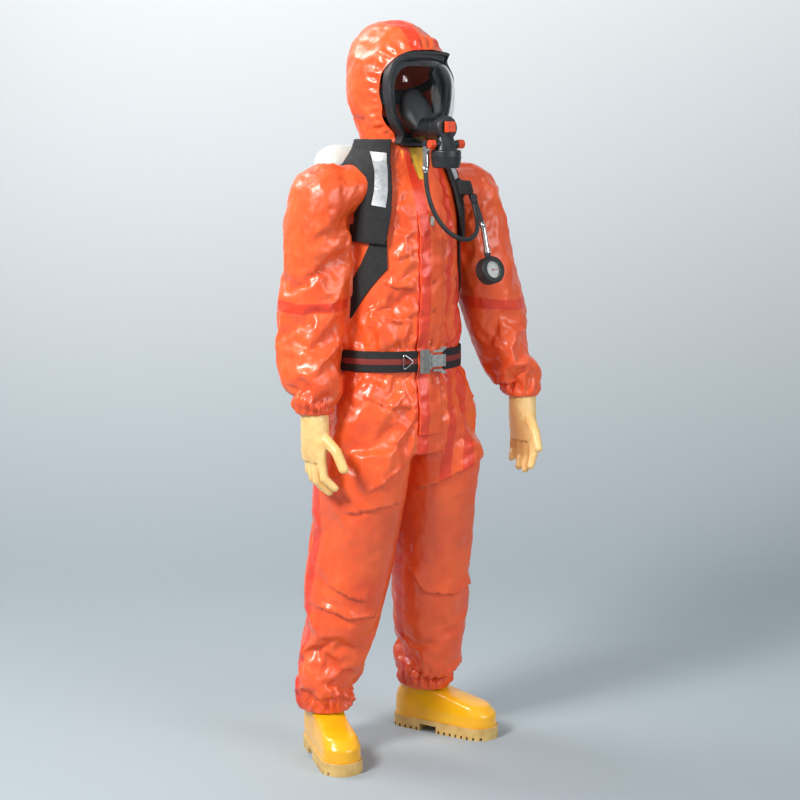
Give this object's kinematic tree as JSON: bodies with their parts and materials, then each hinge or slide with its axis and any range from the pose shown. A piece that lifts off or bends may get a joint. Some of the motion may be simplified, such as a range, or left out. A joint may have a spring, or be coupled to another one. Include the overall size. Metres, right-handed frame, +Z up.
{
  "type": "chemical protective suit with breathing apparatus",
  "caption": "Full-body protective coverall with hood, gloves and boots, full-face mask, demand valve, harness, gauge and back-mounted air cylinder, standing.",
  "frame": {"origin": "middle of the standing suit's outline seen from above, at floor level", "axes": "+Z up; the suit faces -Y, its right hand is towards -X and the air cylinder is towards +Y"},
  "size_m": [0.705, 0.563, 1.78],
  "materials": {
    "suit_film": "glossy coated film, crinkled",
    "liner_yellow": "soft lining",
    "elastic": "covered elastic",
    "zip_tape": "moulded zip",
    "zip_metal": "polished",
    "glove_rubber": "smooth cream latex",
    "boot_yellow": "glossy",
    "boot_sole": "matt, cleated",
    "visor": "clear",
    "mask_rubber": "soft matt",
    "valve_plastic": "semi-gloss moulding",
    "knob_orange": "semi-gloss moulding",
    "fitting_metal": "plated",
    "hose_rubber": "semi-gloss",
    "pad_fabric": "padded woven cover",
    "webbing": "woven webbing with a dull red stripe",
    "reflective": "reflective sheet",
    "buckle_grey": "moulded",
    "buckle_metal": "brushed",
    "plate_black": "fine grain",
    "cylinder_shell": "lacquered",
    "valve_brass": "plated",
    "gauge_rubber": "soft matt",
    "gauge_white": "printed face, no lettering",
    "needle_red": "satin"
  },
  "bodies": {
    "suit": {"hood": "suit_film", "front_right_panel": "suit_film", "front_left_panel": "suit_film", "back_panel": "suit_film", "storm_flap": "suit_film", "leg_right": "suit_film", "leg_left": "suit_film", "zip_chain": "zip_tape", "neck_guard": "liner_yellow", "gathering_elastics": "elastic", "boot_upper_right": "boot_yellow", "boot_upper_left": "boot_yellow", "boot_sole_right": "boot_sole", "boot_sole_left": "boot_sole", "mask_lens": "visor", "mask_frame": "mask_rubber", "face_seal": "mask_rubber", "nose_cup": "mask_rubber", "mask_port": "valve_plastic", "head_harness": "mask_rubber", "valve_body": "valve_plastic", "valve_cover": "valve_plastic", "hose_fitting": "fitting_metal", "supply_hose": "hose_rubber", "gauge_hose": "hose_rubber", "gauge_swivel": "fitting_metal", "shoulder_pads": "pad_fabric", "reflective_patches": "reflective", "lower_straps": "webbing", "waist_belt": "webbing", "buckle_body": "buckle_grey", "buckle_tongue": "buckle_metal", "back_plate": "plate_black", "air_cylinder": "cylinder_shell", "cylinder_valve": "valve_brass", "pressure_reducer": "valve_brass", "cylinder_band": "webbing"},
    "arm_right": {"upper_sleeve_right": "suit_film", "elbow_section_right": "suit_film"},
    "forearm_right": {"lower_sleeve_right": "suit_film", "glove_right": "glove_rubber"},
    "arm_left": {"upper_sleeve_left": "suit_film", "elbow_section_left": "suit_film"},
    "forearm_left": {"lower_sleeve_left": "suit_film", "glove_left": "glove_rubber"},
    "bypass_knob": {"bypass_knob": "knob_orange"},
    "reset_button": {"reset_button": "knob_orange"},
    "release_catch": {"release_catch": "knob_orange"},
    "exhalation_valve": {"exhalation_valve": "mask_rubber"},
    "zip_slider": {"zip_slider": "zip_metal"},
    "gauge": {"gauge_case": "gauge_rubber", "gauge_dial": "gauge_white", "gauge_glass": "visor"},
    "needle": {"gauge_needle": "needle_red"},
    "ear_upper": {"buckle_ear_upper": "buckle_metal"},
    "ear_lower": {"buckle_ear_lower": "buckle_metal"},
    "belt_ring": {"belt_ring": "fitting_metal"},
    "handwheel": {"cylinder_handwheel": "plate_black"},
    "coupling": {"coupling_wheel": "plate_black"},
    "cam_lever": {"cam_lever": "buckle_metal"}
  },
  "joints": [
    {"name": "shoulder_right", "type": "hinge", "parent": "suit", "child": "arm_right", "pos_m": [-0.2335, -0.0465, 1.365], "axis": [-1, 0, 0], "range_deg": [-20, 70]},
    {"name": "elbow_right", "type": "hinge", "parent": "arm_right", "child": "forearm_right", "pos_m": [-0.2655, -0.0265, 1.09], "axis": [-1, 0, 0], "range_deg": [0, 80], "deforming": ["elbow_section_right"]},
    {"name": "shoulder_left", "type": "hinge", "parent": "suit", "child": "arm_left", "pos_m": [0.1665, -0.0465, 1.365], "axis": [-1, 0, 0], "range_deg": [-20, 70]},
    {"name": "elbow_left", "type": "hinge", "parent": "arm_left", "child": "forearm_left", "pos_m": [0.2505, -0.0735, 1.095], "axis": [-1, 0, 0], "range_deg": [0, 80], "deforming": ["elbow_section_left"]},
    {"name": "bypass_knob_turn", "type": "hinge", "parent": "suit", "child": "bypass_knob", "pos_m": [0.0065, -0.2455, 1.491], "axis": [1, 0, 0], "range_deg": [0, 270]},
    {"name": "reset_button_press", "type": "slide", "parent": "suit", "child": "reset_button", "axis": [1, 0, 0], "range_m": [0, 0.003], "stiffness_N_per_m": 500, "springref_m": -0.002},
    {"name": "release_catch_press", "type": "slide", "parent": "suit", "child": "release_catch", "axis": [0, 1, 0], "range_m": [0, 0.004], "stiffness_N_per_m": 600, "springref_m": -0.002},
    {"name": "exhalation_valve_lift", "type": "slide", "parent": "suit", "child": "exhalation_valve", "axis": [0, -1, 0], "range_m": [0, 0.0025], "stiffness_N_per_m": 60, "springref_m": -0.001},
    {"name": "zip_slide", "type": "slide", "parent": "suit", "child": "zip_slider", "axis": [0, -0.0461, -0.9989], "range_m": [0, 0.1]},
    {"name": "gauge_swivel_turn", "type": "hinge", "parent": "suit", "child": "gauge", "pos_m": [0.1185, -0.2185, 1.19], "axis": [0, 0.2588, 0.9659], "range_deg": [-60, 60]},
    {"name": "gauge_needle_turn", "type": "hinge", "parent": "gauge", "child": "needle", "pos_m": [0.1185, -0.22855, 1.19269], "axis": [0, -0.9659, 0.2588], "range_deg": [-225, 45]},
    {"name": "buckle_ear_upper_squeeze", "type": "hinge", "parent": "suit", "child": "ear_upper", "pos_m": [-0.0305, -0.1945, 1.0026], "axis": [0, 1, 0], "range_deg": [0, 9], "stiffness_Nm_per_rad": 0.3, "springref_deg": -5.73},
    {"name": "buckle_ear_lower_squeeze", "type": "hinge", "parent": "suit", "child": "ear_lower", "pos_m": [-0.0305, -0.1945, 0.9574], "axis": [0, -1, 0], "range_deg": [0, 9], "stiffness_Nm_per_rad": 0.3, "springref_deg": -5.73},
    {"name": "belt_ring_swing", "type": "hinge", "parent": "suit", "child": "belt_ring", "pos_m": [-0.10671, -0.17828, 0.98], "axis": [0, 0, -1], "range_deg": [0, 110]},
    {"name": "cylinder_valve_turn", "type": "hinge", "parent": "suit", "child": "handwheel", "pos_m": [-0.0635, 0.1995, 0.952], "axis": [-1, 0, 0], "range_deg": [0, 450]},
    {"name": "coupling_turn", "type": "hinge", "parent": "suit", "child": "coupling", "pos_m": [0.0045, 0.1995, 0.952], "axis": [1, 0, 0], "range_deg": [0, 360]},
    {"name": "band_lever_open", "type": "hinge", "parent": "suit", "child": "cam_lever", "pos_m": [-0.0495, 0.2769, 1.3], "axis": [0, 0, 1], "range_deg": [0, 110]}
  ],
  "couplings": [
    {"joint": "buckle_ear_lower_squeeze", "follows": "buckle_ear_upper_squeeze", "ratio": 1}
  ]
}
